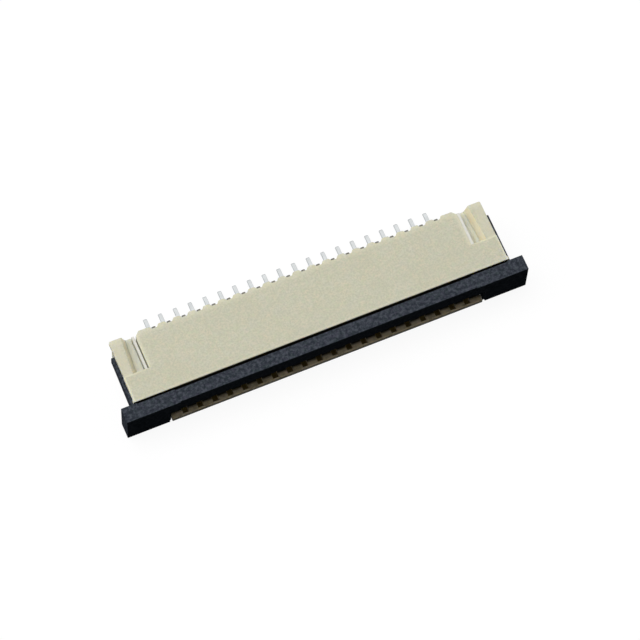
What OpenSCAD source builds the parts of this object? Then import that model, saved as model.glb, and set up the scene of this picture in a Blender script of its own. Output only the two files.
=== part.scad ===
// Right-angle surface-mount connector for a flat flexible cable, slider type, bottom contacts.
// X runs along the row of contacts, -Y is the mating side where the cable and the slider are,
// +Y is the side of the solder tails, and Z = 0 is the board. Millimetres.
// Depths are counted from the mating face of the housing, then the whole is centred on Y.

/* [Row of contacts] */
// Number of contacts in the row
positions = 20; // [4:1:30]
// Spacing of the contacts
pitch = 1; // [0.8:0.05:1.25]

/* [Housing] */
// Height of the connector above the board
top_z = 2.6; // [2.4:0.05:3.2]
// Depth of the housing behind its mating face
housing_depth = 4.3; // [4.1:0.05:5]
// From the last contact to the side of the raised middle of the roof
roof_margin = 1.3; // [1.2:0.01:1.6]
// Thickness of the roof's overhanging edge above each slider arm
eave_t = 0.35; // [0.25:0.01:0.45]
// How far that edge overhangs the side wall below it
eave_overhang = 0.17; // [0.12:0.01:0.25]
// How much wider the roof is beside the front half than beside the end channels
front_widening = 0.03; // [0.02:0.01:0.08]
// Radius of the ears' rear outer corners, seen from above
ear_corner_r = 0.08; // [0.04:0.01:0.12]
// Thickness of the floor under the cable
floor_t = 0.5; // [0.45:0.01:0.6]
// Height of the mouth that takes the cable and the slider's tongue
mouth_h = 1.12; // [1.05:0.01:1.2]
// Depth of the mouth, to the wall that stops the cable
mouth_depth = 3.2; // [3:0.05:3.3]

/* [Front lip] */
// How far the lip reaches out in front of the mating face
lip_reach = 1.08; // [0.9:0.01:1.3]
// Thickness of the lip at its front edge
lip_t = 0.3; // [0.25:0.01:0.35]
// Wall left in front of each contact slot in the lip
lip_front_wall = 0.13; // [0.1:0.01:0.2]
// Width of each contact slot in the lip
lip_slot_w = 0.37; // [0.34:0.01:0.5]

/* [Rear edge] */
// Depth of the notch behind each contact
notch_depth = 0.18; // [0.1:0.01:0.25]
// Width of a notch at its bottom
notch_floor_w = 0.34; // [0.3:0.01:0.4]
// Width of a notch at its mouth
notch_mouth_w = 0.6; // [0.45:0.01:0.65]
// Chamfer on the two rear corners of the roof
roof_chamfer = 0.28; // [0.1:0.01:0.4]

/* [End channels] */
// Depth of each end channel below the roof
channel_drop = 0.72; // [0.5:0.01:0.9]
// Length of each end channel, open at the back
channel_len = 2.52; // [2.2:0.01:2.8]
// Width of the channel's floor at its front end, the fitting nail's slot included
channel_w = 0.8; // [0.7:0.01:0.9]
// How far the outer wall of the channel leans outward
channel_lean = 0.25; // [0.1:0.01:0.4]
// Angle by which that wall turns in toward the nail, from front to back
channel_splay = 4.4; // [0:0.2:6]
// Radius at the foot of that wall
channel_foot_r = 0.15; // [0.08:0.01:0.2]
// Radius of the ear's edge at the top of that wall
channel_edge_r = 0.12; // [0.05:0.01:0.2]
// Width of the ear beside the channel at its front end, at the top
ear_w = 0.63; // [0.55:0.01:0.8]

/* [Slider] */
// Front-to-back size of the slider's bar at its ends
bar_d = 0.96; // [0.8:0.01:1.2]
// How much the long middle of the bar is set back on its front and on its rear face
bar_relief = 0.05; // [0.02:0.01:0.08]
// From the last contact to the end of that middle
relief_margin = 0.4; // [0.3:0.01:0.5]
// Gap between the closed slider's bar and the housing
closed_gap = 0.12; // [0.06:0.01:0.16]
// How far each end reaches back past the bar, beside the housing
end_overlap = 0.07; // [0.02:0.01:0.1]
// How far the slider pulls out
travel = 1.5; // [1:0.05:1.6]
// Height of the underside of the bar's front edge above the board
bar_underside_z = 1.45; // [1.3:0.01:1.6]
// Gap between the lip and each end block
end_block_gap = 0.155; // [0.1:0.005:0.25]
// Length of that gap at the front, before the end block steps in nearer to the lip
end_notch_d = 0.2; // [0.1:0.01:0.3]
// How far each end of the slider reaches beyond its arm
end_reach = 0.73; // [0.5:0.01:1]
// Length of the tongue behind the bar
tongue_len = 2.1; // [1.8:0.05:2.4]
// Thickness of the tongue
tongue_t = 0.66; // [0.6:0.01:0.7]
// Thickness of each side arm
arm_t = 0.3; // [0.25:0.01:0.4]
// Height of each arm at its root
arm_h = 1.2; // [1:0.01:1.22]
// How much lower each arm is at its free end
arm_taper = 0.5; // [0.3:0.01:0.6]
// How far each arm reaches behind the mating face
arm_reach = 3.4; // [3.2:0.05:3.6]
// Length of the hook at the arm's free end
hook_len = 0.3; // [0.2:0.01:0.4]
// How far the hook stands inward of the arm
hook_t = 0.28; // [0.2:0.01:0.32]

/* [Contacts] */
// Thickness of the sheet that the contacts are stamped from
contact_t = 0.25; // [0.2:0.01:0.28]
// Thickness of the solder tail
tail_t = 0.2; // [0.15:0.01:0.25]
// How far the solder tail reaches behind the housing
tail_reach = 1.55; // [1.2:0.05:2]
// Height of the contact point above the cable floor, when free
contact_rise = 0.2; // [0.1:0.01:0.25]
// Distance of the contact point behind the mating face
contact_point_y = 1.25; // [1:0.05:1.5]
// How far the spring beam runs on into the lip
beam_reach = 0.5; // [0.3:0.01:0.6]
// Thickness of the spring beam at its free end
beam_tip_t = 0.12; // [0.1:0.01:0.15]
// Thickness of the spring beam at its root
beam_root_t = 0.3; // [0.25:0.01:0.32]
// Thickness of the contact's stiff upper arm
upper_arm_t = 0.28; // [0.2:0.01:0.3]
// Depth of the contact's upright spine
spine_d = 0.7; // [0.5:0.01:0.8]
// Height of the shoulder at the back of the contact above the board
shoulder_z = 2.27; // [2.1:0.01:2.3]

/* [Fitting nails] */
// Thickness of the sheet that the nails are bent from
nail_t = 0.17; // [0.15:0.01:0.2]
// Depth of the nail's top edge below the roof
nail_drop = 0.26; // [0.1:0.01:0.4]
// Gap between the nail and the side of the roof's raised middle
nail_gap = 0.06; // [0.04:0.01:0.1]
// Width of the solder foot beyond the upright web
foot_w = 0.44; // [0.3:0.01:0.5]
// Length of the solder foot
foot_len = 2.2; // [1.8:0.05:2.3]
// How far the foot shows behind the housing
foot_reach = 0.25; // [0.1:0.01:0.4]
// Length of the tang that holds the nail in the housing
tang_len = 0.7; // [0.5:0.05:0.9]

/* [Fits] */
// Gap on each side of the cable in the mouth
cable_fit = 0.05; // [0.03:0.01:0.1]
// Gap on each side of a contact in its slot
contact_fit = 0.02; // [0.01:0.005:0.03]
// Gap on each side of a nail in its slot
nail_fit = 0.02; // [0.01:0.005:0.04]
// Gap between the sliding faces of the slider and the housing
slide_fit = 0.05; // [0.03:0.005:0.06]
// Gap between the slider's arms and the side walls
side_fit = 0.08; // [0.05:0.005:0.1]

/* [Hidden] */

// Length by which a cutter runs past the face it opens
over = 0.1;
// Length by which a piece runs into the one that it's joined to
join = 0.1;
// Straight pieces in a quarter of a small round
quarter_steps = 5;

// Along the row, from the middle of the connector outward
row_half = (positions - 1) * pitch / 2;
cable_half = (positions + 1) * pitch / 2;
lip_inset = 0.05;
tongue_inset = 0.1;
mouth_half = cable_half + cable_fit;
lip_half = cable_half - lip_inset;
tongue_half = cable_half - tongue_inset;
relief_half = row_half + relief_margin;
roof_half = row_half + roof_margin;
channel_half = roof_half + channel_w;
ear_inner = channel_half + channel_lean;
ear_half = ear_inner + ear_w;
front_half = ear_half + front_widening;
wall_half = ear_half - eave_overhang;
arm_inner = wall_half + side_fit;
arm_half = arm_inner + arm_t;
slider_half = arm_half + end_reach;
block_half = lip_half + end_block_gap;

// Front to back, from the mating face
channel_front = housing_depth - channel_len;
hook_front = arm_reach - hook_len;
catch_y = hook_front - travel - slide_fit;
slider_front = -closed_gap - bar_d;
tail_end = housing_depth + tail_reach;
front_end = max(-slider_front, lip_reach);
centre_shift = (front_end - tail_end) / 2;

// Heights
mouth_top = floor_t + mouth_h;
channel_z = top_z - channel_drop;
eave_z = top_z - eave_t;
arm_top = eave_z - slide_fit;
tongue_top = mouth_top - slide_fit;
tongue_z = tongue_top - tongue_t;
board_gap = 0.05;

// The contacts, and the slots that hold them
spine_inset = 0.15;
spine_back = housing_depth - spine_inset;
spine_front = spine_back - spine_d;
shoulder_reach = 0.06;
shoulder_back = housing_depth + shoulder_reach;
shoulder_h = 0.4;
upper_arm_cover = 0.04;
upper_arm_z = mouth_top + upper_arm_cover;
upper_arm_tip = 0.6;
beam_z = 0.13;
slot_w = contact_t + 2 * contact_fit;
slot_floor_z = 0.08;

// The nails, and the slots that hold them
nail_inner = roof_half + nail_gap;
nail_outer = nail_inner + nail_t;
nail_end_gap = 0.09;
nail_front = channel_front + nail_end_gap;
nail_inset = 0.06;
nail_back = housing_depth - nail_inset;
nail_top = top_z - nail_drop;
nail_round = 0.22;
foot_bend = 0.06;
foot_back = housing_depth + foot_reach;
tang_z = 0.75;
tang_h = 0.5;

function contact_name(i) = str("contact_", i < 10 ? "0" : "", i);

function contact_x(i) = (i - 1) * pitch - row_half;

// Points of an arc of radius r about c, from angle a to angle b
function arc(c, r, a, b) =
    [for (k = [0 : quarter_steps]) c + r * [cos(a + (b - a) * k / quarter_steps),
                                            sin(a + (b - a) * k / quarter_steps)]];

// An outline drawn in Y and Z, made into a plate that spans x0 to x1
module side_plate(x0, x1) {
    translate([x0, 0, 0])
        rotate([90, 0, 90])
            linear_extrude(x1 - x0)
                children();
}

// An outline drawn in X and Z, made into a bar that spans y0 to y1
module end_bar(y0, y1) {
    translate([0, y1, 0])
        rotate([90, 0, 0])
            linear_extrude(y1 - y0)
                children();
}

// A box given by its two corners
module block(low, high) {
    translate(low) cube(high - low);
}

module both_sides() {
    children();
    mirror([1, 0, 0]) children();
}

// ---- Housing: one moulding ----

// Plan of half of the roof, a little wider in front of the end channels
module roof_plan() {
    corner = 0.2;
    pad = 0.05;
    polygon([
        [0, 0],
        [front_half + pad, 0],
        [front_half + pad, corner],
        [front_half, corner + pad],
        [front_half, channel_front],
        [ear_half, channel_front],
        each arc([ear_half - ear_corner_r, housing_depth - ear_corner_r], ear_corner_r, 0, 90),
        [0, housing_depth]
    ]);
}

// Side view of the floor and of the lip that carries it on in front
module lip_side() {
    bevel = 0.05;
    ramp_y = -0.4;
    polygon([
        [-lip_reach, 0],
        [-lip_reach, lip_t - bevel],
        [-lip_reach + bevel, lip_t],
        [ramp_y, lip_t],
        [0, floor_t],
        [join, floor_t],
        [join, 0]
    ]);
}

// Section of an end channel at its front end: flat floor, round foot, leaning wall, round edge
module channel_section() {
    lean = atan(channel_lean / channel_drop);
    tangent = tan(45 - lean / 2);
    foot = [channel_half - channel_foot_r * tangent, channel_z + channel_foot_r];
    edge = [ear_inner + channel_edge_r * tangent, top_z - channel_edge_r];
    polygon(concat(
        [[roof_half - over, top_z + over], [roof_half - over, channel_z]],
        arc(foot, channel_foot_r, -90, -lean),
        arc(edge, channel_edge_r, 180 - lean, 90),
        [[edge[0], top_z + over]]
    ));
}

// An end channel: straight along the nail, its outer wall turned in toward the back
module channel() {
    pivot = [channel_half, channel_front, 0];
    intersection() {
        block([roof_half, channel_front, channel_z - over],
              [ear_half, housing_depth + over, top_z + 2 * over]);
        translate(pivot)
            rotate([0, 0, channel_splay])
                translate(-pivot)
                    end_bar(channel_front - over, housing_depth + 3 * over) channel_section();
    }
}

// Rails under the slider's arms
module arm_rails() {
    rail_h = 0.2;
    rail_z = arm_top - arm_h - slide_fit;
    both_sides()
        block([wall_half - join, 0, rail_z - rail_h], [arm_inner + arm_t / 2, catch_y, rail_z]);
}

// Room for one contact, seen from the side: beam, upper arm and spine
module contact_slot_side() {
    spine_slot = spine_front - contact_fit;
    slot_top = upper_arm_z + upper_arm_t + contact_fit;
    tip_room = 0.1;
    polygon([
        [over, slot_floor_z],
        [spine_slot, slot_floor_z],
        [spine_slot, -over],
        [housing_depth + over, -over],
        [housing_depth + over, shoulder_z + contact_fit],
        [spine_slot, shoulder_z + contact_fit],
        [spine_slot, slot_top],
        [upper_arm_tip - tip_room, slot_top],
        [upper_arm_tip - tip_room, mouth_top - over],
        [over, mouth_top - over]
    ]);
}

// All the room for contact i: its slot, the wider slot in the lip and the notch behind it
module contact_room(i) {
    x = contact_x(i);
    side_plate(x - slot_w / 2, x + slot_w / 2) contact_slot_side();
    block([x - lip_slot_w / 2, -lip_reach + lip_front_wall, slot_floor_z],
          [x + lip_slot_w / 2, 2 * over, floor_t + over]);
    translate([x, housing_depth, -over])
        linear_extrude(top_z + 2 * over)
            polygon([
                [-notch_floor_w / 2, -notch_depth],
                [notch_floor_w / 2, -notch_depth],
                [notch_mouth_w / 2, 0],
                [notch_mouth_w / 2, over],
                [-notch_mouth_w / 2, over],
                [-notch_mouth_w / 2, 0]
            ]);
}

// Room for the cable and the tongue, with its entry flared at the sides
module mouth() {
    flare = 0.1;
    block([-mouth_half, -over, floor_t], [mouth_half, mouth_depth, mouth_top]);
    translate([0, 0, floor_t])
        linear_extrude(mouth_h)
            polygon([
                [-mouth_half - flare, -over],
                [mouth_half + flare, -over],
                [mouth_half + flare, 0],
                [mouth_half, flare],
                [-mouth_half, flare],
                [-mouth_half - flare, 0]
            ]);
}

// Everything cut at one end: channel, nail slot, foot pocket, tang pocket and hook recess
module end_cuts() {
    slot_outer = nail_outer + nail_fit;
    back = housing_depth + over;
    channel();
    block([roof_half, nail_front - nail_fit, -over], [slot_outer, back, top_z]);
    block([roof_half, foot_back - foot_len - nail_fit, -over],
          [nail_outer + foot_w + nail_fit, back, tail_t + foot_bend + nail_t]);
    block([nail_inner - nail_fit, nail_front - tang_len - nail_fit, tang_z - nail_fit],
          [slot_outer, nail_front, tang_z + tang_h + nail_fit]);
    block([arm_inner - hook_t - side_fit, catch_y, arm_top - arm_h + arm_taper - side_fit],
          [wall_half + over, arm_reach + side_fit, eave_z]);
    translate([roof_half, housing_depth, channel_z])
        rotate([0, 0, 45])
            cube([roof_chamfer * sqrt(2), roof_chamfer * sqrt(2), 2 * channel_drop + 2 * over],
                 center = true);
}

module housing() {
    color([0.83, 0.81, 0.71])
        translate([0, centre_shift, 0])
            difference() {
                union() {
                    block([-wall_half, 0, 0], [wall_half, housing_depth, eave_z]);
                    both_sides()
                        translate([0, 0, eave_z])
                            linear_extrude(eave_t)
                                roof_plan();
                    side_plate(-lip_half, lip_half) lip_side();
                    arm_rails();
                }
                mouth();
                for (i = [1 : positions]) contact_room(i);
                both_sides() end_cuts();
            }
}

// ---- Slider: one moulding ----

// Side view of the bar's long middle with the wedge-tipped tongue behind it
module bar_and_tongue_side() {
    front = slider_front + bar_relief;
    back = -closed_gap - bar_relief;
    tongue_end = tongue_len - closed_gap;
    wedge = 0.45;
    chin = 0.1;
    polygon([
        [front, bar_underside_z],
        [slider_front + bar_d * 0.7, tongue_z + chin],
        [-closed_gap, tongue_z],
        [tongue_end - wedge, tongue_z],
        [tongue_end, tongue_z + tongue_t * 0.35],
        [tongue_end, tongue_top - tongue_t * 0.3],
        [tongue_end - wedge / 2, tongue_top],
        [back, tongue_top],
        [back, top_z],
        [front, top_z]
    ]);
}

// Side view of an arm, shallower toward its free end
module arm_side() {
    polygon([
        [-closed_gap - join, arm_top - arm_h],
        [0, arm_top - arm_h],
        [hook_front, arm_top - arm_h + arm_taper],
        [arm_reach, arm_top - arm_h + arm_taper],
        [arm_reach, arm_top],
        [-closed_gap - join, arm_top]
    ]);
}

// Plan of the hook: square catching face in front, ramp behind
module hook_plan() {
    polygon([
        [arm_inner + join, hook_front],
        [arm_inner - hook_t, hook_front],
        [arm_inner - hook_t, arm_reach - hook_len / 2],
        [arm_inner, arm_reach],
        [arm_inner + join, arm_reach]
    ]);
}

// One end: the bar's full depth, the block down to the board, the arm and its hook
module slider_end() {
    hook_z = arm_top - arm_h + arm_taper;
    block([relief_half, slider_front, bar_underside_z], [block_half + join, -closed_gap, top_z]);
    block([block_half, slider_front, board_gap], [slider_half, -closed_gap, top_z]);
    block([lip_half + slide_fit, slider_front + end_notch_d, board_gap],
          [block_half + join, -closed_gap, bar_underside_z + join]);
    block([arm_inner, -closed_gap - join, board_gap], [slider_half, end_overlap - closed_gap, top_z]);
    side_plate(arm_inner, arm_half) arm_side();
    translate([0, 0, hook_z]) linear_extrude(arm_top - hook_z) hook_plan();
}

module slider() {
    color([0.17, 0.18, 0.2])
        translate([0, centre_shift, 0])
            union() {
                side_plate(-tongue_half, tongue_half) bar_and_tongue_side();
                both_sides() slider_end();
            }
}

// ---- Contacts: flat forks stamped from sheet ----

// Height of the middle of the spring beam at depth y: a straight fall with a round hump
function beam_mid(y) =
    let (hump = floor_t + contact_rise - beam_z - beam_tip_t,
         reach = 0.75,
         off = min(1, abs(y - contact_point_y) / reach))
    beam_z + beam_thick(y) / 2 + hump * (1 + cos(180 * off)) / 2;

function beam_thick(y) =
    beam_tip_t + (beam_root_t - beam_tip_t) * max(0, y - contact_point_y) / (spine_front - contact_point_y);

// Outline of a contact, once round from the toe of its tail
module contact_side() {
    crotch_r = 0.22;
    heel_r = 0.2;
    steps = 22;
    beam_y = [for (k = [0 : steps])
        spine_front - crotch_r - (spine_front - crotch_r + beam_reach) * k / steps];
    beam_top = [for (y = beam_y) [y, beam_mid(y) + beam_thick(y) / 2]];
    beam_bottom = [for (k = [steps : -1 : 0]) [beam_y[k], beam_mid(beam_y[k]) - beam_thick(beam_y[k]) / 2]];
    crotch_z = beam_top[0][1];
    polygon(concat(
        [[tail_end, 0], [tail_end, tail_t * 0.6], [tail_end - tail_t * 0.4, tail_t]],
        arc([spine_back + heel_r, tail_t + heel_r], heel_r, 270, 180),
        [[spine_back, shoulder_z - shoulder_h], [shoulder_back, shoulder_z - shoulder_h]],
        [[shoulder_back, shoulder_z], [spine_front + spine_d / 2, shoulder_z]],
        [[spine_front, upper_arm_z + upper_arm_t]],
        [[upper_arm_tip + 0.2, upper_arm_z + upper_arm_t]],
        [[upper_arm_tip, upper_arm_z + upper_arm_t * 0.6], [upper_arm_tip, upper_arm_z]],
        arc([spine_front - crotch_r, upper_arm_z - crotch_r], crotch_r, 90, 0),
        arc([spine_front - crotch_r, crotch_z + crotch_r], crotch_r, 0, -90),
        beam_top,
        beam_bottom,
        [[spine_front, beam_z], [spine_front + beam_z, 0]]
    ));
}

module contact(i) {
    x = contact_x(i);
    color([0.78, 0.79, 0.8])
        translate([0, centre_shift, 0])
            side_plate(x - contact_t / 2, x + contact_t / 2) contact_side();
}

// ---- Fitting nails: bent stampings that hold the connector to the board ----

// Upright web with a round upper rear corner and a barbed tang in front
module nail_web_side() {
    barb = nail_fit / 2;
    polygon(concat(
        [[nail_back, tail_t + foot_bend]],
        arc([nail_back - nail_round, nail_top - nail_round], nail_round, 0, 90),
        [[nail_front, nail_top], [nail_front, tang_z + tang_h]],
        [[nail_front - tang_len / 2, tang_z + tang_h + barb]],
        [[nail_front - tang_len, tang_z + tang_h - 2 * barb], [nail_front - tang_len, tang_z + 2 * barb]],
        [[nail_front - tang_len / 2, tang_z - barb], [nail_front, tang_z]],
        [[nail_front, tail_t + foot_bend]]
    ));
}

// Section through the foot: a quarter bend out of the web, then flat on the board
module foot_section() {
    bend = nail_t + foot_bend;
    centre = [nail_inner + bend, bend];
    polygon(concat(
        [[nail_inner, bend + join]],
        arc(centre, bend, 180, 270),
        [[nail_outer + foot_w, 0], [nail_outer + foot_w, nail_t]],
        arc(centre, foot_bend, 270, 180),
        [[nail_outer, bend + join]]
    ));
}

module fitting_nail() {
    color([0.8, 0.81, 0.82])
        translate([0, centre_shift, 0])
            union() {
                side_plate(nail_inner, nail_outer) nail_web_side();
                end_bar(foot_back - foot_len, nail_back) foot_section();
                block([nail_outer + foot_bend, nail_back - join, 0],
                      [nail_outer + foot_w, foot_back, nail_t]);
            }
}

module fitting_nail_right() {
    fitting_nail();
}

module fitting_nail_left() {
    mirror([1, 0, 0]) fitting_nail();
}

housing();
slider();
for (i = [1 : positions]) {
    contact(i);
}
fitting_nail_left();
fitting_nail_right();
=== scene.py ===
# %% [markdown]
# # A 20-way connector for a flat flexible cable
#
# The real part is 27 mm long and 2.6 mm high. It is made of a cream moulded housing, a black
# slider that pulls out to free the cable, twenty stamped spring contacts and two fitting nails
# that are soldered to the board. The solids of all of them are already in the frame at their true
# size, so this lesson is about what the solids lack: the soft edges of a moulding, the grain of
# glass-filled plastic, the rolled and stamped surface of plated metal, and the light.

# %% Load the frame
from functools import partial
from math import radians

import bmesh
import bpy
from mathutils import Matrix, Vector


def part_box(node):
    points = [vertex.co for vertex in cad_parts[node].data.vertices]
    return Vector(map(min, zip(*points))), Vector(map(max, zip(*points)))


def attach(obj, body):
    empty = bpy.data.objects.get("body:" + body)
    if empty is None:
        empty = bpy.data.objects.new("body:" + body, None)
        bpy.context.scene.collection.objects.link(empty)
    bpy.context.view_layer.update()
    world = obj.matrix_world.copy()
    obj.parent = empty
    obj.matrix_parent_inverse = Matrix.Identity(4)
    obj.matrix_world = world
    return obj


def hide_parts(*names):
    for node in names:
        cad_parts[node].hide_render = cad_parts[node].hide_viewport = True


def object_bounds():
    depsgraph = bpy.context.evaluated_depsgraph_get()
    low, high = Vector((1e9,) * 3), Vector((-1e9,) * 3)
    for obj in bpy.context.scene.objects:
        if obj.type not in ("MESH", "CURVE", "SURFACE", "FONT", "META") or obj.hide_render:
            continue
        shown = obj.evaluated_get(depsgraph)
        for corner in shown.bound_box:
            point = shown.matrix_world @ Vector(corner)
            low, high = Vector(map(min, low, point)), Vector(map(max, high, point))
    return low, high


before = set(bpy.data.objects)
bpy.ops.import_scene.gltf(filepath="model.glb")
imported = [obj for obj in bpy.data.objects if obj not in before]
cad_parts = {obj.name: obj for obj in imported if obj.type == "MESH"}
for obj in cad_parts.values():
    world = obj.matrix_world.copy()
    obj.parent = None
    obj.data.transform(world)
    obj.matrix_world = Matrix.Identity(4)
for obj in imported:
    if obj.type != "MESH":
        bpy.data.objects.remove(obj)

cad_low, cad_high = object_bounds()
MM = 0.001
print("solids:", len(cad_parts), "size in mm:", [round(v / MM, 2) for v in cad_high - cad_low])

# %% [markdown]
# ## The camera
# A part as small as this is best seen from far away through a long lens, so that its edges stay
# almost parallel. A camera can be turned by three angles, but a place and a target are easier to
# read. It stands in front, to the left and high above, and looks at the middle of the part. Then
# it is turned a few degrees about its own axis, which tips the row in the view.

# %% Place the camera
CAMERA_PLACE = Vector((-41.553, -83.842, 218.319)) * MM
CAMERA_TARGET = Vector((0.34, -1.2, 1.3)) * MM
CAMERA_ROLL = radians(4.037)
CAMERA_LENS = 214.37

camera_data = bpy.data.cameras.new("catalogue_camera")
camera_data.lens = CAMERA_LENS
camera_data.sensor_width = 36
camera_data.clip_start = 0.01
camera_data.clip_end = 20
camera = bpy.data.objects.new("catalogue_camera", camera_data)
bpy.context.scene.collection.objects.link(camera)
aim = (CAMERA_TARGET - CAMERA_PLACE).to_track_quat("-Z", "Y").to_matrix().to_4x4()
roll = Matrix.Rotation(CAMERA_ROLL, 4, "Z")
camera.matrix_world = Matrix.Translation(CAMERA_PLACE) @ aim @ roll
bpy.context.scene.camera = camera
print("camera at", [round(v, 3) for v in CAMERA_PLACE],
      "distance", round((CAMERA_TARGET - CAMERA_PLACE).length, 3))

# %% [markdown]
# ## Small helpers for materials
# Every finish here is a Principled shader fed by noise. An image would need each piece to be
# unwrapped first, and would look coarse close up, so the pattern is worked out from the piece's own
# coordinates instead. They are read in millimetres: a grain of 0.1 mm keeps its size however the
# view changes, and it stays put when the slider moves.

# %% A new finish and its noises
def new_finish(name):
    """A material with its shader and a coordinate in millimetres of the object's own space."""
    material = bpy.data.materials.new(name)
    material.use_nodes = True
    tree = material.node_tree
    place = tree.nodes.new("ShaderNodeTexCoord")
    in_mm = stretched(tree, place.outputs["Object"], (1 / MM, 1 / MM, 1 / MM))
    return material, tree, tree.nodes["Principled BSDF"], in_mm


def stretched(tree, vector, factors):
    """The same coordinate, stretched by a factor on each axis."""
    node = tree.nodes.new("ShaderNodeMapping")
    node.inputs["Scale"].default_value = factors
    tree.links.new(vector, node.inputs["Vector"])
    return node.outputs["Vector"]


def noise(tree, vector, per_mm, detail=4, rough=0.55):
    """Noise with so many waves per millimetre, as a value from about 0.3 to 0.7."""
    node = tree.nodes.new("ShaderNodeTexNoise")
    node.inputs["Scale"].default_value = per_mm
    node.inputs["Detail"].default_value = detail
    node.inputs["Roughness"].default_value = rough
    tree.links.new(vector, node.inputs["Vector"])
    return node.outputs["Fac"]


# %% [markdown]
# A tint often belongs to one part of a piece only. Faces could be given materials of their own, but
# then each tint would end in a hard line. Here a part is picked out by a share from 0 to 1, worked
# out from the place, from the way the surface faces or from a noise. Where several shares have to
# hold at once, they are multiplied.

# %% Shares that pick out a part of a piece
def remap(tree, value, low, high, to_low, to_high):
    """Carries a value from one range to another, and clamps it there."""
    node = tree.nodes.new("ShaderNodeMapRange")
    tree.links.new(value, node.inputs["Value"])
    for socket, number in (("From Min", low), ("From Max", high),
                           ("To Min", to_low), ("To Max", to_high)):
        node.inputs[socket].default_value = number
    return node.outputs["Result"]


def rises(tree, value, start, end, most=1):
    """A share that is 0 where a value is at its start and grows to the most at its end."""
    return remap(tree, value, start, end, 0, most)


def calculate(tree, operation, first, second=None):
    """The result of one operation, such as MULTIPLY or ABSOLUTE, on one or two values."""
    node = tree.nodes.new("ShaderNodeMath")
    node.operation = operation
    tree.links.new(first, node.inputs[0])
    if second is not None:
        tree.links.new(second, node.inputs[1])
    return node.outputs["Value"]


def product(tree, *shares):
    """The product of some shares: 1 only where each of them is."""
    result = shares[0]
    for share in shares[1:]:
        result = calculate(tree, "MULTIPLY", result, share)
    return result


def split(tree, vector):
    """The three parts of a vector: for a place, how far along, how far back and how high."""
    node = tree.nodes.new("ShaderNodeSeparateXYZ")
    tree.links.new(vector, node.inputs["Vector"])
    return node.outputs


def facing(tree):
    """The three parts of the direction that a surface faces, in the object's own space."""
    node = tree.nodes.new("ShaderNodeTexCoord")
    return split(tree, node.outputs["Normal"])


def in_hollows(tree, reach_mm, own_only=True, open_at=0.7, deep_at=0.2):
    """A share of 1 deep in a narrow hollow of the piece, or of all of them, and 0 in the open."""
    node = tree.nodes.new("ShaderNodeAmbientOcclusion")
    node.only_local = own_only
    node.samples = 8
    node.inputs["Distance"].default_value = reach_mm * MM
    return rises(tree, node.outputs["AO"], open_at, deep_at)


# %% [markdown]
# The tints are then laid over one another in order, like thin coats of paint, and the bumps are
# chained in the same way. A bump only bends the light, which is enough for marks a few thousandths
# of a millimetre deep. Whatever shows in an outline is in the mesh.

# %% Tints and bumps
def blend_colours(tree, share, first, second):
    """A mix of two colours, each an (r, g, b) or another node's output, by a share of 0 to 1."""
    node = tree.nodes.new("ShaderNodeMix")
    node.data_type = "RGBA"
    tree.links.new(share, node.inputs["Factor"])
    for socket, colour in ((node.inputs[6], first), (node.inputs[7], second)):
        if isinstance(colour, tuple):
            socket.default_value = (*colour, 1)
        else:
            tree.links.new(colour, socket)
    return node.outputs[2]


def tinted(tree, base, coats):
    """A colour under some coats. Each coat is a tint and the shares that say where it lies."""
    for tint, *shares in coats:
        base = blend_colours(tree, product(tree, *shares), base, tint)
    return base


def add_bump(tree, shader, layers):
    """Layers of (height value, depth in millimetres), laid on one another as bumps."""
    normal = None
    for height, depth in layers:
        node = tree.nodes.new("ShaderNodeBump")
        node.inputs["Distance"].default_value = depth * MM
        tree.links.new(height, node.inputs["Height"])
        if normal is not None:
            tree.links.new(normal, node.inputs["Normal"])
        normal = node.outputs["Normal"]
    tree.links.new(normal, shader.inputs["Normal"])


# %% [markdown]
# ## Cream plastic of the housing
# The housing is a liquid crystal polymer with chopped glass in it. It is pale and dull: faint flow
# marks run along the row, where the melt filled the mould, patches are a little warmer or greener,
# and the glass gives a fine grain. One noise with much detail would look alike at every size, so
# each of these marks is a noise of its own size, and each tints the colour below it a little.

# %% Flow marks, mottle and grain
CREAM_LOW, CREAM_HIGH = (0.616, 0.601, 0.474), (0.650, 0.638, 0.526)


def moulded_colour(tree, mm):
    """The cream colour with its marks, and the noises that the bumps follow as well."""
    flow = noise(tree, stretched(tree, mm, (0.35, 1, 1)), 0.9, 3)
    cloud = noise(tree, mm, 0.35, 2)
    mottle = noise(tree, mm, 2.2, 3, 0.6)
    fleck = noise(tree, mm, 4.5, 2, 0.5)
    grain = noise(tree, mm, 8, 3, 0.7)
    base = blend_colours(tree, rises(tree, flow, 0.35, 0.65), CREAM_LOW, CREAM_HIGH)
    base = tinted(tree, base, [
        ((0.642, 0.644, 0.520), rises(tree, cloud, 0.4, 0.6, 0.5)),
        ((0.690, 0.630, 0.490), rises(tree, mottle, 0.4, 0.62, 0.75)),
        ((0.595, 0.620, 0.462), rises(tree, fleck, 0.5, 0.66, 0.85)),
        ((0.540, 0.536, 0.420), rises(tree, grain, 0.4, 0.62, 0.9))])
    return base, flow, mottle, grain
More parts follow.
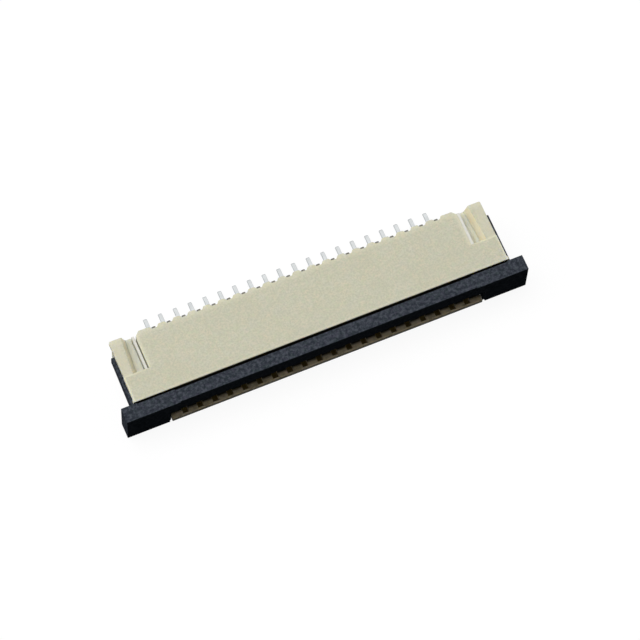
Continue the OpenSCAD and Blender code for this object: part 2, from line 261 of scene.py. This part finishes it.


# %% [markdown]
# Light is painted into the housing's colour. The ears and the floors of the end channels are thin,
# and they are painted lighter, as if light shone into them. The leaning inner walls of the ears get
# warm painted light, and the rims of the roof and the step to each ear get painted highlights that
# are brighter than the middle of the roof. Places are in millimetres. They start from the solids'
# boxes, so that a tint stays where it belongs if a solid changes its size, and only what no box
# says is a number here.

# %% Places on the housing
HOUSING_END, HOUSING_BACK, ROOF_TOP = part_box("housing")[1] / MM
NAIL_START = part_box("fitting_nail_right")[0].x / MM
LIP_FRONT = cad_low.y / MM
ROOF_FRONT = LIP_FRONT + 1.08
CHANNEL_START = HOUSING_BACK - 2.52
CHANNEL_FLOOR = ROOF_TOP - 0.72
CHANNEL_INNER, CHANNEL_OUTER = 11.03, 11.85
print("roof from", round(ROOF_FRONT, 3), "to", round(HOUSING_BACK, 3), "mm; nails at",
      round(NAIL_START, 3), "mm; channels from", round(CHANNEL_START, 3), "mm, floor at",
      round(CHANNEL_FLOOR, 3), "mm; the housing's ends at", round(HOUSING_END, 3), "mm")

# %% Painted light on the housing
# the colour of the painted highlights along the roof's rims
RIM_PAINTED_HIGHLIGHT = (0.800, 0.770, 0.600)


def painted_light_on_housing(tree, base, place, face):
    """The housing's colour with painted light: lighter tints where light would shine in, and
    painted highlights on the rims.
    """
    rise = partial(rises, tree)
    back, up = place["Y"], place["Z"]
    outward = calculate(tree, "ABSOLUTE", place["X"])
    behind = rise(back, CHANNEL_START - 0.05, CHANNEL_START + 0.05)
    before = rise(back, CHANNEL_START, CHANNEL_START - 0.1)
    on_roof = rise(up, ROOF_TOP - 0.2, ROOF_TOP - 0.1)
    # painted light: each coat below is a lighter tint or a painted highlight, not a colour of the
    # plastic
    ear_painted_light = ((0.685, 0.655, 0.515), rise(outward, CHANNEL_OUTER, CHANNEL_OUTER + 0.15, 0.55), behind)
    rear_rim_painted_highlight = (RIM_PAINTED_HIGHLIGHT, rise(back, HOUSING_BACK - 0.5, HOUSING_BACK, 0.5), on_roof)
    front_rim_painted_highlight = (RIM_PAINTED_HIGHLIGHT, rise(back, ROOF_FRONT + 0.2, ROOF_FRONT + 0.1, 0.3),
                 rise(back, ROOF_FRONT, ROOF_FRONT + 0.1), on_roof)
    painted_highlights_beside_nails = (RIM_PAINTED_HIGHLIGHT, rise(outward, NAIL_START - 0.34, NAIL_START - 0.16, 0.4),
                         rise(outward, NAIL_START + 0.1, NAIL_START), behind, on_roof)
    painted_highlights_above_arms = (RIM_PAINTED_HIGHLIGHT, rise(outward, HOUSING_END - 0.2, HOUSING_END - 0.1, 0.8),
                       before, on_roof)
    painted_highlight_at_ear_step = ((0.760, 0.740, 0.570),
                    rise(back, CHANNEL_START - 0.12, CHANNEL_START - 0.05, 0.7),
                    rise(back, CHANNEL_START + 0.06, CHANNEL_START),
                    rise(outward, CHANNEL_INNER, CHANNEL_INNER + 0.1))
    painted_light_on_leaning_walls = ((0.830, 0.770, 0.570), rise(face["Z"], 0.1, 0.28), rise(face["Z"], 0.7, 0.4),
                     rise(up, CHANNEL_FLOOR - 0.13, CHANNEL_FLOOR + 0.02))
    painted_light_on_channel_floors = ((0.780, 0.780, 0.670), rise(face["Z"], 0.8, 0.95, 0.7), behind,
                      rise(up, CHANNEL_FLOOR + 0.22, CHANNEL_FLOOR + 0.07),
                      rise(up, CHANNEL_FLOOR - 0.28, CHANNEL_FLOOR - 0.13))
    return tinted(tree, base, [ear_painted_light, rear_rim_painted_highlight, front_rim_painted_highlight, painted_highlights_beside_nails, painted_highlights_above_arms,
                               painted_highlight_at_ear_step, painted_light_on_leaning_walls, painted_light_on_channel_floors])


# %% [markdown]
# The lip in front is a thin skin of plastic between the slots. It is stained in places. It also
# gets painted shade: it is painted warmer and darker where the slider's bar shades it, darker on
# its front face and on the floors of its slots, and it gets a painted shadow that grows toward the
# mouth. The hollows get painted shade as well, which an Ambient Occlusion node finds by itself, and
# the seam behind the slider gets the darkest.

# %% Stains and painted shade of the housing
def stains_and_painted_shade(tree, base, mm, place, face):
    """The housing's colour with stains, and painted shade on the front skin, in its slots, toward
    the mouth, in narrow recesses and behind the slider.
    """
    rise = partial(rises, tree)
    back, up = place["Y"], place["Z"]
    upward, forward = rise(face["Z"], 0.5, 0.9), rise(face["Y"], -0.6, -0.9)
    in_front = rise(back, LIP_FRONT + 1.3, LIP_FRONT + 1.05)
    on_lip = product(tree, rise(up, 0.55, 0.45), in_front)
    stain = noise(tree, mm, 2.6, 3, 0.6)
    # painted shade on the floors of the slots, darker toward the mouth
    slot_painted_shade_colour = blend_colours(tree, rise(back, LIP_FRONT + 0.2, LIP_FRONT + 0.5),
                                (0.165, 0.122, 0.042), (0.080, 0.056, 0.010))
    in_seam = in_hollows(tree, 0.3, own_only=False, open_at=0.9, deep_at=0.4)
    # painted shade: the front skin is warmer and darker where the slider's bar shades it
    lip_painted_shade = ((0.500, 0.415, 0.270), rise(up, 0.55, 0.3, 0.8), in_front)
    dark_stains = ((0.250, 0.200, 0.130), rise(stain, 0.48, 0.38, 0.5), on_lip)
    warm_stains = ((0.680, 0.520, 0.400), rise(stain, 0.52, 0.64, 0.5), on_lip)
    # painted shade: the slot floors, the front face, the painted shadow toward the mouth, the
    # hollows and the seam
    slot_floor_painted_shade = (slot_painted_shade_colour, rise(up, 0.2, 0.13), upward)
    lip_front_painted_shade = ((0.070, 0.072, 0.042), forward, rise(up, 0.35, 0.2), in_front)
    painted_shadow_toward_mouth = ((0.020, 0.018, 0.012), rise(back, LIP_FRONT + 0.26, LIP_FRONT + 0.42),
                    rise(up, 0.13, 0.2), on_lip, upward)
    painted_shade_in_hollows = ((0.260, 0.190, 0.090), in_hollows(tree, 0.25))
    painted_shade_in_seam = ((0.012, 0.008, 0.003), in_seam, forward)
    return tinted(tree, base, [lip_painted_shade, dark_stains, warm_stains, slot_floor_painted_shade, lip_front_painted_shade,
                               painted_shadow_toward_mouth, painted_shade_in_hollows, painted_shade_in_seam])


# %% [markdown]
# The shader itself is a dull one, with hardly any mirror light and a roughness that follows the
# grain. Light goes a little way into real cream plastic and comes out again beside an edge. A short
# subsurface distance does some of that, and the painted light on the ears and the channel floors
# stands in for the rest.

# %% Finish of the housing
def cream_plastic():
    material, tree, shader, mm = new_finish("cream_glass_filled_plastic")
    place, face = split(tree, mm), facing(tree)
    base, flow, mottle, grain = moulded_colour(tree, mm)
    base = painted_light_on_housing(tree, base, place, face)
    base = stains_and_painted_shade(tree, base, mm, place, face)
    tree.links.new(base, shader.inputs["Base Color"])
    tree.links.new(remap(tree, grain, 0.3, 0.7, 0.45, 0.62), shader.inputs["Roughness"])
    shader.inputs["IOR"].default_value = 1.5
    shader.inputs["Specular IOR Level"].default_value = 0.05
    shader.inputs["Subsurface Weight"].default_value = 0.6
    shader.inputs["Subsurface Radius"].default_value = (1, 0.85, 0.5)
    shader.inputs["Subsurface Scale"].default_value = 0.4 * MM
    add_bump(tree, shader, [(flow, 0.004), (mottle, 0.003), (grain, 0.003)])
    return material


HOUSING_FINISH = cream_plastic()
print("finish:", HOUSING_FINISH.name, len(HOUSING_FINISH.node_tree.nodes), "nodes")

# %% [markdown]
# ## Black plastic of the slider
# The slider is the same kind of plastic, dyed black. Under soft light its grained top looks slate
# grey, with small patches that are lighter or darker and a little bluer or greener, because the
# glass lies nearer to the surface in some places. The faces turned to the front get painted shade,
# a deeper black, because less light falls on them than on the top. The rear faces get near-black
# painted shade in the narrow seam behind the closed slider, where hardly any light is left: an
# Ambient Occlusion node finds the seam there, and lets it go when the slider is pulled out.

# %% Finish of the slider
def black_plastic():
    material, tree, shader, mm = new_finish("black_glass_filled_plastic")
    rise = partial(rises, tree)
    cloud = noise(tree, stretched(tree, mm, (0.6, 1, 1)), 1.3, 4, 0.6)
    patch = noise(tree, mm, 5, 3, 0.65)
    hue = noise(tree, mm, 3.5, 2)
    backward = facing(tree)["Y"]
    in_seam = in_hollows(tree, 0.3, own_only=False, open_at=0.95, deep_at=0.6)
    base = blend_colours(tree, rise(cloud, 0.35, 0.65),
                         (0.036, 0.043, 0.054), (0.046, 0.053, 0.067))
    base = tinted(tree, base, [
        ((0.038, 0.055, 0.055), rise(hue, 0.55, 0.68, 0.6)),
        ((0.054, 0.050, 0.075), rise(hue, 0.45, 0.32, 0.6)),
        ((0.074, 0.082, 0.100), rise(patch, 0.5, 0.62, 0.8)),
        ((0.020, 0.024, 0.032), rise(patch, 0.5, 0.38, 0.8)),
        # painted shade: near black on the rear faces in the seam
        ((0.004, 0.004, 0.004), in_seam, rise(backward, 0.15, 0.4)),
        # painted shade: the faces turned to the front are darker than the top
        ((0.008, 0.012, 0.015), rise(backward, -0.5, -0.9, 0.65))])
    tree.links.new(base, shader.inputs["Base Color"])
    tree.links.new(remap(tree, cloud, 0.35, 0.65, 0.42, 0.58), shader.inputs["Roughness"])
    shader.inputs["IOR"].default_value = 1.5
    shader.inputs["Specular IOR Level"].default_value = 0
    add_bump(tree, shader, [(cloud, 0.004), (patch, 0.003)])
    return material


SLIDER_FINISH = black_plastic()
print("finish:", SLIDER_FINISH.name, len(SLIDER_FINISH.node_tree.nodes), "nodes")

# %% [markdown]
# ## Plated metal of the contacts and the nails
# Both are stamped from copper alloy strip and plated with matt tin. Rolling leaves fine lines along
# the strip, and the tin has a slight cloud of brighter and duller patches. The flanks and the tip
# of a tail were sheared, not rolled, so they are rough. They are painted darker, partly for that
# rough finish and partly as painted shade on the faces turned away from the top, most of all toward
# the tail's tip. A contact also gets painted shade higher up, where it stands in its notch. One
# function makes both finishes, because only the colours and these zones differ.

# %% Finishes of the stampings
TAIL_TIP = cad_high.y / MM


def matt_tin(name, colour, roughness, painted_shade_zones=(), sheared_and_shaded=None):
    """Tin. A zone of painted shade is (height, border, colour), lowest first; the flank colour is
    partly a sheared finish and partly painted shade.
    """
    material, tree, shader, mm = new_finish(name)
    place, face = split(tree, mm), facing(tree)
    lines = noise(tree, stretched(tree, mm, (1, 0.12, 1)), 14, 2)
    cloud = noise(tree, mm, 3, 3)
    coats = []
    # the flanks' darker colour is partly the sheared finish and partly painted shade
    if sheared_and_shaded:
        toward_tip = remap(tree, place["Y"], TAIL_TIP - 1.3, TAIL_TIP - 0.5, 0.35, 1)
        coats = [(sheared_and_shaded, rises(tree, face[axis], 0.15 * way, 0.6 * way), toward_tip)
                 for axis, way in (("X", 1), ("X", -1), ("Y", 1))]
    # painted shade: each zone darkens the metal above its height
    coats += [(shade_tint, rises(tree, place["Z"], height, height + border))
              for height, border, shade_tint in painted_shade_zones]
    patchy = tuple(0.93 * part for part in colour)
    base = blend_colours(tree, rises(tree, cloud, 0.35, 0.65), colour, patchy)
    tree.links.new(tinted(tree, base, coats), shader.inputs["Base Color"])
    tree.links.new(remap(tree, cloud, 0.3, 0.7, roughness - 0.06, roughness + 0.08),
                   shader.inputs["Roughness"])
    shader.inputs["Metallic"].default_value = 1
    add_bump(tree, shader, [(lines, 0.0003), (cloud, 0.001)])
    return material


# painted shade on the contacts above 0.35 mm, darkest above 1.9 mm, where they stand in their
# notches
CONTACT_FINISH = matt_tin("tin_on_contacts", (0.79, 0.815, 0.82), 0.42,
                          [(0.35, 0.2, (0.36, 0.36, 0.36)), (1.9, 0.1, (0.20, 0.195, 0.165))],
                          sheared_and_shaded=(0.55, 0.575, 0.58))
NAIL_FINISH = matt_tin("tin_on_nails", (0.80, 0.79, 0.73), 0.4)
print("finishes:", CONTACT_FINISH.name, NAIL_FINISH.name)

# %% [markdown]
# ## Copies of the solids
# A solid in the frame is made of loose triangles, and it is never changed itself. So each one is
# copied. Then the copy's corners are joined, and triangles that lie in one plane become one face,
# because only then is each edge a place where the shape really bends.

# %% Copy a solid
SAME_PLACE = 0.0005 * MM
FLAT_ANGLE = radians(2)


def merged_copy(node, name):
    """A copy of a solid's mesh, with shared corners and whole flat faces."""
    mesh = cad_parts[node].data.copy()
    mesh.name = name
    mesh.materials.clear()
    shape = bmesh.new()
    shape.from_mesh(mesh)
    bmesh.ops.remove_doubles(shape, verts=shape.verts, dist=SAME_PLACE)
    bmesh.ops.dissolve_limit(shape, angle_limit=FLAT_ANGLE, verts=shape.verts, edges=shape.edges)
    shape.to_mesh(mesh)
    shape.free()
    piece = bpy.data.objects.new(name, mesh)
    bpy.context.scene.collection.objects.link(piece)
    return piece


# %% [markdown]
# ## Soft edges
# No moulded or stamped edge is truly sharp: it has a small radius, and the thin line of light
# along that radius is what makes a part look real. The radius could be drawn into the solids, but
# it would make them heavy to check for no gain in fit, so a narrow Bevel adds it here. The Bevel
# follows a weight on each edge, so that a few edges can have a radius of their own. The radii are
# in millimetres.

# %% Round the edges of a piece
SHARP_ANGLE = radians(30)


def soften(piece, radius_mm, own_radius=None):
    """Rounds the sharp edges. own_radius(edge) may give an edge a radius of its own."""
    shape = bmesh.new()
    shape.from_mesh(piece.data)
    weight = shape.edges.layers.float.new("bevel_weight_edge")
    radii = {edge: (own_radius and own_radius(edge)) or radius_mm for edge in shape.edges
             if len(edge.link_faces) == 2 and edge.calc_face_angle(0) > SHARP_ANGLE}
    top = max(corner.co.z for corner in shape.verts)
    widest = max(radii.values())
    for edge, radius in radii.items():
        edge[weight] = radius / widest
    shape.to_mesh(piece.data)
    shape.free()
    bevel = piece.modifiers.new("edge radius", "BEVEL")
    bevel.width = widest * MM
    bevel.segments = 2
    bevel.limit_method = "WEIGHT"
    bevel.use_clamp_overlap = False
    bevel.harden_normals = True
    bake_shape(piece)
    for corner in piece.data.vertices:  # where four edges meet, their rounding may rise a little
        corner.co.z = min(corner.co.z, top)


def bake_shape(piece):
    """Turns what the modifiers make into a plain mesh, and removes the modifiers."""
    graph = bpy.context.evaluated_depsgraph_get()
    piece.data = bpy.data.meshes.new_from_object(piece.evaluated_get(graph))
    piece.data.name = piece.name
    piece.modifiers.clear()


# %% Dress a piece
def dress(piece, finish, body, slot, *nodes):
    """Gives a piece its finish and its body, and hides the solids it stands for. The slot argument
    is not used.
    """
    piece.data.materials.clear()
    piece.data.materials.append(finish)
    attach(piece, body)
    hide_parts(*nodes)
    print(piece.name, "triangles:", sum(len(p.vertices) - 2 for p in piece.data.polygons))


# %% [markdown]
# ## The housing
# The housing carries all the other pieces. It has a roof over the cable's mouth, a lip with a slot
# for each contact, and at each end an ear beside the channel of a fitting nail. The solid has all
# of these forms, and only the edges are left to do. The teeth between the notches of the rear edge
# have rounder corners than the rest, and the slots of the nails have almost no radius.

# %% Housing
HOUSING_EDGE, TOOTH_EDGE, NAIL_SLOT_EDGE = 0.02, 0.1, 0.004
HAIR = 0.005  # places nearer to each other than this, in millimetres, count as one
ROW_END = max(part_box(name)[1].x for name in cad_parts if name.startswith("contact_")) / MM


def housing_radius(edge):
    """A tooth of the rear edge has rounder corners, and a nail's slot has hardly any radius."""
    start, end = (corner.co / MM for corner in edge.verts)
    at_back = min(start.y, end.y) > HOUSING_BACK - HAIR
    if at_back and abs(start.z - end.z) > 1 and abs(start.x) < ROW_END + 0.3:
        return TOOTH_EDGE
    if all(NAIL_START < abs(place.x) < CHANNEL_INNER + 0.03 for place in (start, end)):
        return NAIL_SLOT_EDGE


housing = merged_copy("housing", "housing_moulding")
soften(housing, HOUSING_EDGE, housing_radius)
dress(housing, HOUSING_FINISH, "housing_assembly", "housing_plastic", "housing")

# %% [markdown]
# ## The slider
# The slider is one moulding: a bar in front of the roof, a block at each end beside the lip, a
# tongue under the roof and an arm along each side of the housing. Its long rear edge is rounder
# than the rest. Each block steps in nearer to the lip just behind its front, and that step is so
# short on the real part that its corners are moved forward a little in the copy.

# %% Slider
SLIDER_EDGE, SLIDER_REAR_EDGE = 0.03, 0.07
STEP_FROM, STEP_TO = cad_low.y + 0.2 * MM, cad_low.y + 0.1 * MM


def slider_radius(edge):
    """The long edge where the slider's top meets its rear face is rounder than the rest."""
    start, end = (corner.co / MM for corner in edge.verts)
    at_top = min(start.z, end.z) > cad_high.z / MM - HAIR
    if at_top and min(start.y, end.y) > LIP_FRONT + 0.7 and abs(start.x - end.x) > 1:
        return SLIDER_REAR_EDGE


slider = merged_copy("slider", "slider_moulding")
step_corners = [v for v in slider.data.vertices if abs(v.co.y - STEP_FROM) < HAIR * MM]
for corner in step_corners:
    corner.co.y = STEP_TO
print("corners of the steps:", len(step_corners))
soften(slider, SLIDER_EDGE, slider_radius)
dress(slider, SLIDER_FINISH, "actuator", "slider_plastic", "slider")

# %% [markdown]
# ## The row of contacts
# The twenty contacts are one stamping repeated on a fixed pitch. Each solid could be copied and
# rounded by itself, but that is the same work twenty times, so one is rounded and a Geometry Nodes
# tree repeats it. The count and the pitch are named inputs of the tree. Realize Instances turns the
# copies into one mesh, and Set Material gives them their finish.

# %% Count the contacts
POSITIONS = sum(1 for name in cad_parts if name.startswith("contact_"))
contact_names = [f"contact_{i:02d}" for i in range(1, POSITIONS + 1)]
contact_middles = [sum(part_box(name), Vector()).x / 2 for name in contact_names]
PITCH = (contact_middles[-1] - contact_middles[0]) / (POSITIONS - 1)
print("positions:", POSITIONS, "pitch in mm:", round(PITCH / MM, 4))

# %% A tree that lays copies along a line
def row_tree():
    """Lays copies of a stamping along a line, one pitch apart."""
    tree = bpy.data.node_groups.new("row of contacts", "GeometryNodeTree")
    for name, way, kind in (("Stamping", "INPUT", "Geometry"), ("Positions", "INPUT", "Int"),
                            ("Pitch", "INPUT", "Float"), ("Finish", "INPUT", "Material"),
                            ("Row", "OUTPUT", "Geometry")):
        tree.interface.new_socket(name, in_out=way, socket_type="NodeSocket" + kind)
    node = {key: tree.nodes.new(kind) for key, kind in {
        "in": "NodeGroupInput", "out": "NodeGroupOutput", "step": "ShaderNodeCombineXYZ",
        "line": "GeometryNodeMeshLine", "copies": "GeometryNodeInstanceOnPoints",
        "real": "GeometryNodeRealizeInstances", "finish": "GeometryNodeSetMaterial"}.items()}
    for start, out, end, into in (
            ("in", "Pitch", "step", "X"), ("in", "Positions", "line", "Count"),
            ("step", "Vector", "line", "Offset"), ("line", "Mesh", "copies", "Points"),
            ("in", "Stamping", "copies", "Instance"), ("copies", "Instances", "real", "Geometry"),
            ("real", "Geometry", "finish", "Geometry"), ("in", "Finish", "finish", "Material"),
            ("finish", "Geometry", "out", "Row")):
        tree.links.new(node[start].outputs[out], node[end].inputs[into])
    return tree


def set_inputs(modifier, values):
    """Sets a modifier's named inputs, which it knows by identifier."""
    for socket in modifier.node_group.interface.items_tree:
        if socket.item_type == "SOCKET" and socket.name in values:
            modifier[socket.identifier] = values[socket.name]


# %% Repeat one contact along the row
CONTACT_EDGE = 0.038

contacts = merged_copy("contact_01", "contact_row")
soften(contacts, CONTACT_EDGE)
modifier = contacts.modifiers.new("row", "NODES")
modifier.node_group = row_tree()
set_inputs(modifier, {"Positions": POSITIONS, "Pitch": PITCH, "Finish": CONTACT_FINISH})
bake_shape(contacts)
dress(contacts, CONTACT_FINISH, "housing_assembly", "contact_metal", *contact_names)

# %% [markdown]
# ## The fitting nails
# A fitting nail is a flat stamping bent at its foot, which is soldered to the board and takes the
# pull of the cable off the contacts. Only its upper edge shows from above, in the end channel.
# There are just two, and they are mirror images, so a plain loop makes them.

# %% Fitting nails
NAIL_EDGE = 0.006

for side in ("left", "right"):
    nail = merged_copy("fitting_nail_" + side, "nail_" + side)
    soften(nail, NAIL_EDGE)
    dress(nail, NAIL_FINISH, "housing_assembly", "nail_metal", "fitting_nail_" + side)

# %% [markdown]
# ## The table
# The part stands on a white table. A table that is truly white would throw light up at the part
# from below, so this one sends its white only to the camera and to what the part's surfaces
# mirror, and keeps the faint shadow under the part. It lies a hair below the part, because two
# faces in one plane would show through each other.

# %% White table
def for_the_eye(tree):
    """1 on a ray from the camera, a mirror or a clear body, and 0 on one that carries light."""
    path = tree.nodes.new("ShaderNodeLightPath").outputs
    seen = calculate(tree, "MAXIMUM", path["Is Camera Ray"], path["Is Glossy Ray"])
    return calculate(tree, "MAXIMUM", seen, path["Is Transmission Ray"])


def diffuse(tree, grey):
    """A plain matt surface of one grey."""
    node = tree.nodes.new("ShaderNodeBsdfDiffuse")
    node.inputs["Color"].default_value = (grey, grey, grey, 1)
    return node.outputs[0]


TABLE_GLOW = 0.915
SHADOWED_GREY, LIT_GREY = 0.10, 0.06


def white_table():
    """Glowing white to the eye, with a little grey that takes the shadow; dark grey to light."""
    material = bpy.data.materials.new("white_table")
    material.use_nodes = True
    tree = material.node_tree
    tree.nodes.remove(tree.nodes["Principled BSDF"])
    glow = tree.nodes.new("ShaderNodeEmission")
    glow.inputs["Strength"].default_value = TABLE_GLOW
    shadowed_white = tree.nodes.new("ShaderNodeAddShader")
    tree.links.new(diffuse(tree, SHADOWED_GREY), shadowed_white.inputs[0])
    tree.links.new(glow.outputs[0], shadowed_white.inputs[1])
    mix = tree.nodes.new("ShaderNodeMixShader")
    tree.links.new(for_the_eye(tree), mix.inputs["Fac"])
    tree.links.new(diffuse(tree, LIT_GREY), mix.inputs[1])
    tree.links.new(shadowed_white.outputs[0], mix.inputs[2])
    tree.links.new(mix.outputs[0], tree.nodes["Material Output"].inputs["Surface"])
    return material


# %% Lay the table
TABLE_HALF = 0.6
TABLE_GAP = 0.02 * MM
table_mesh = bpy.data.meshes.new("table")
table_mesh.from_pydata([(-TABLE_HALF, -TABLE_HALF, 0), (TABLE_HALF, -TABLE_HALF, 0),
                        (TABLE_HALF, TABLE_HALF, 0), (-TABLE_HALF, TABLE_HALF, 0)],
                       [], [(0, 1, 2, 3)])
table_mesh.materials.append(white_table())
table = bpy.data.objects.new("table", table_mesh)
table.location.z = cad_low.z - TABLE_GAP
bpy.context.scene.collection.objects.link(table)
print("table:", 2 * TABLE_HALF, "m square")

# %% [markdown]
# ## The light
# Three large softboxes light the part: one above and behind it, and one at each side. Small lamps
# would cast hard shadows on so small a part. The softboxes don't show in the metal, because the
# mirror image of a lamp would burn out a tail only 0.25 mm wide. The tin mirrors the white room
# instead.

# %% Softboxes
def softbox(name, place_mm, size_mm, watts):
    """A rectangular lamp turned to the part, which leaves no mirror image of itself."""
    light = bpy.data.lights.new(name, "AREA")
    light.shape = "RECTANGLE"
    light.size, light.size_y = (v * MM for v in size_mm)
    light.energy = watts
    lamp = bpy.data.objects.new(name, light)
    lamp.location = Vector(place_mm) * MM
    lamp.rotation_euler = (-lamp.location).to_track_quat("-Z", "Y").to_euler()
    lamp.visible_glossy = False
    bpy.context.scene.collection.objects.link(lamp)
    print(name, "at", place_mm, "mm,", watts, "W")


softbox("softbox_above", (-90, 110, 260), (300, 220), 0.6)
softbox("softbox_left", (-400, 110, 200), (300, 200), 0.55)
softbox("softbox_right", (400, 110, 200), (300, 200), 0.55)

# %% [markdown]
# The room is plain white to the eye and in mirrors. If it also lit the part from all around, every
# face would look alike. So its light on the part grows smoothly from nothing at the horizon to its
# most overhead, and upright faces stay darker than the tops.

# %% White room
ROOM_LIGHT = 0.42

world = bpy.data.worlds.new("white_room")
world.use_nodes = True
bpy.context.scene.world = world
room = world.node_tree
background = room.nodes["Background"]
background.inputs["Color"].default_value = (1, 1, 1, 1)
direction = room.nodes.new("ShaderNodeTexCoord")
overhead = split(room, direction.outputs["Generated"])["Z"]
room_light = rises(room, overhead, 0, 1, ROOM_LIGHT)
room_light.node.interpolation_type = "SMOOTHSTEP"
level = rises(room, for_the_eye(room), 0, 1)
room.links.new(room_light, level.node.inputs["To Min"])
room.links.new(level, background.inputs["Strength"])
bpy.context.scene.view_settings.view_transform = "Standard"
print("room light overhead:", ROOM_LIGHT)
